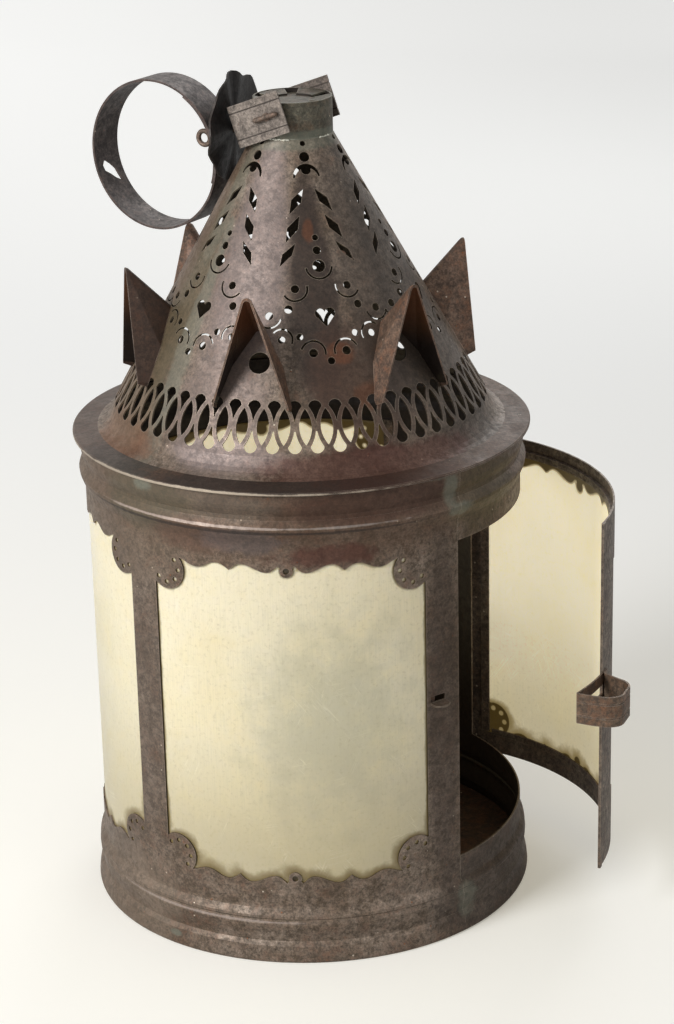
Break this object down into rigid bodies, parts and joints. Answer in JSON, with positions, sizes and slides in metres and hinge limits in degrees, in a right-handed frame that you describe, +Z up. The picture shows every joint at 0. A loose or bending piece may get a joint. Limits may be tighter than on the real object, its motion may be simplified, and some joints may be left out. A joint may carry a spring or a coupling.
{
  "type": "horn lantern",
  "caption": "Round sheet-iron candle lantern with horn windows, a hinged side door, a pierced conical roof with vent hoods, and a swinging ring handle.",
  "frame": {"origin": "middle of the round base, on the surface that the lantern stands on", "axes": "+Z up along the lantern's axis; -Y is the front, with a window; +X is the side with the door"},
  "size_m": [0.259, 0.22, 0.4025],
  "materials": {
    "iron_sheet": "patinated sheet iron, brown-grey, speckled with rust",
    "rusty_iron": "patinated sheet iron with red-brown rust",
    "soldered_iron": "grey-green soldered sheet iron",
    "iron_wire": "worn iron wire",
    "hinge_iron": "worn folded sheet iron",
    "strap_iron": "grey-brown worn strap with scored lines",
    "dark_iron": "blackened thin sheet",
    "ring_iron": "dark brown worn band",
    "horn_pane": "thin translucent cattle horn, cream with yellow edges"
  },
  "bodies": {
    "lantern_body": {"base_floor": "iron_sheet", "base_wire": "iron_wire", "window_wall": "iron_sheet", "sill_strip": "iron_sheet", "lintel_strip": "iron_sheet", "front_pane": "horn_pane", "left_pane": "horn_pane", "back_pane": "horn_pane", "front_pane_strips": "iron_sheet", "left_pane_strips": "iron_sheet", "back_pane_strips": "iron_sheet", "drip_pan": "iron_sheet", "candle_socket": "iron_sheet", "brim_ring": "rusty_iron", "roof_cone": "iron_sheet", "hood_1": "rusty_iron", "hood_2": "rusty_iron", "hood_3": "rusty_iron", "hood_4": "rusty_iron", "hood_5": "rusty_iron", "hood_6": "rusty_iron", "neck_collar": "soldered_iron", "neck_cap": "soldered_iron", "front_pivot_pin": "iron_wire", "back_pivot_pin": "iron_wire", "lower_body_leaf": "hinge_iron", "upper_body_leaf": "hinge_iron", "lower_hinge_pin": "iron_wire", "upper_hinge_pin": "iron_wire"},
    "door": {"door_sheet": "iron_sheet", "door_pane": "horn_pane", "door_top_channel": "iron_sheet", "door_bottom_channel": "iron_sheet", "door_edge_channel": "iron_sheet", "door_hinge_channel": "iron_sheet", "lower_door_leaf": "hinge_iron", "upper_door_leaf": "hinge_iron", "hasp_loop": "strap_iron"},
    "handle": {"yoke_strap": "strap_iron", "heat_shield": "dark_iron", "ring_pin": "iron_wire"},
    "ring": {"ring_handle": "ring_iron", "ring_patch": "ring_iron"}
  },
  "joints": [
    {"name": "door_hinge", "type": "hinge", "parent": "lantern_body", "child": "door", "pos_m": [0.08329, 0.06891, 0.119], "axis": [0, 0, 1], "range_deg": [-27.2, 120]},
    {"name": "handle_swing", "type": "hinge", "parent": "lantern_body", "child": "handle", "pos_m": [0, 0, 0.38736], "axis": [0.5505, 0.8348, 0], "range_deg": [0, 180]},
    {"name": "ring_swivel", "type": "hinge", "parent": "handle", "child": "ring", "pos_m": [-0.03351, 0.0221, 0.37251], "axis": [-0.783, 0.5163, -0.3469], "continuous": true}
  ]
}
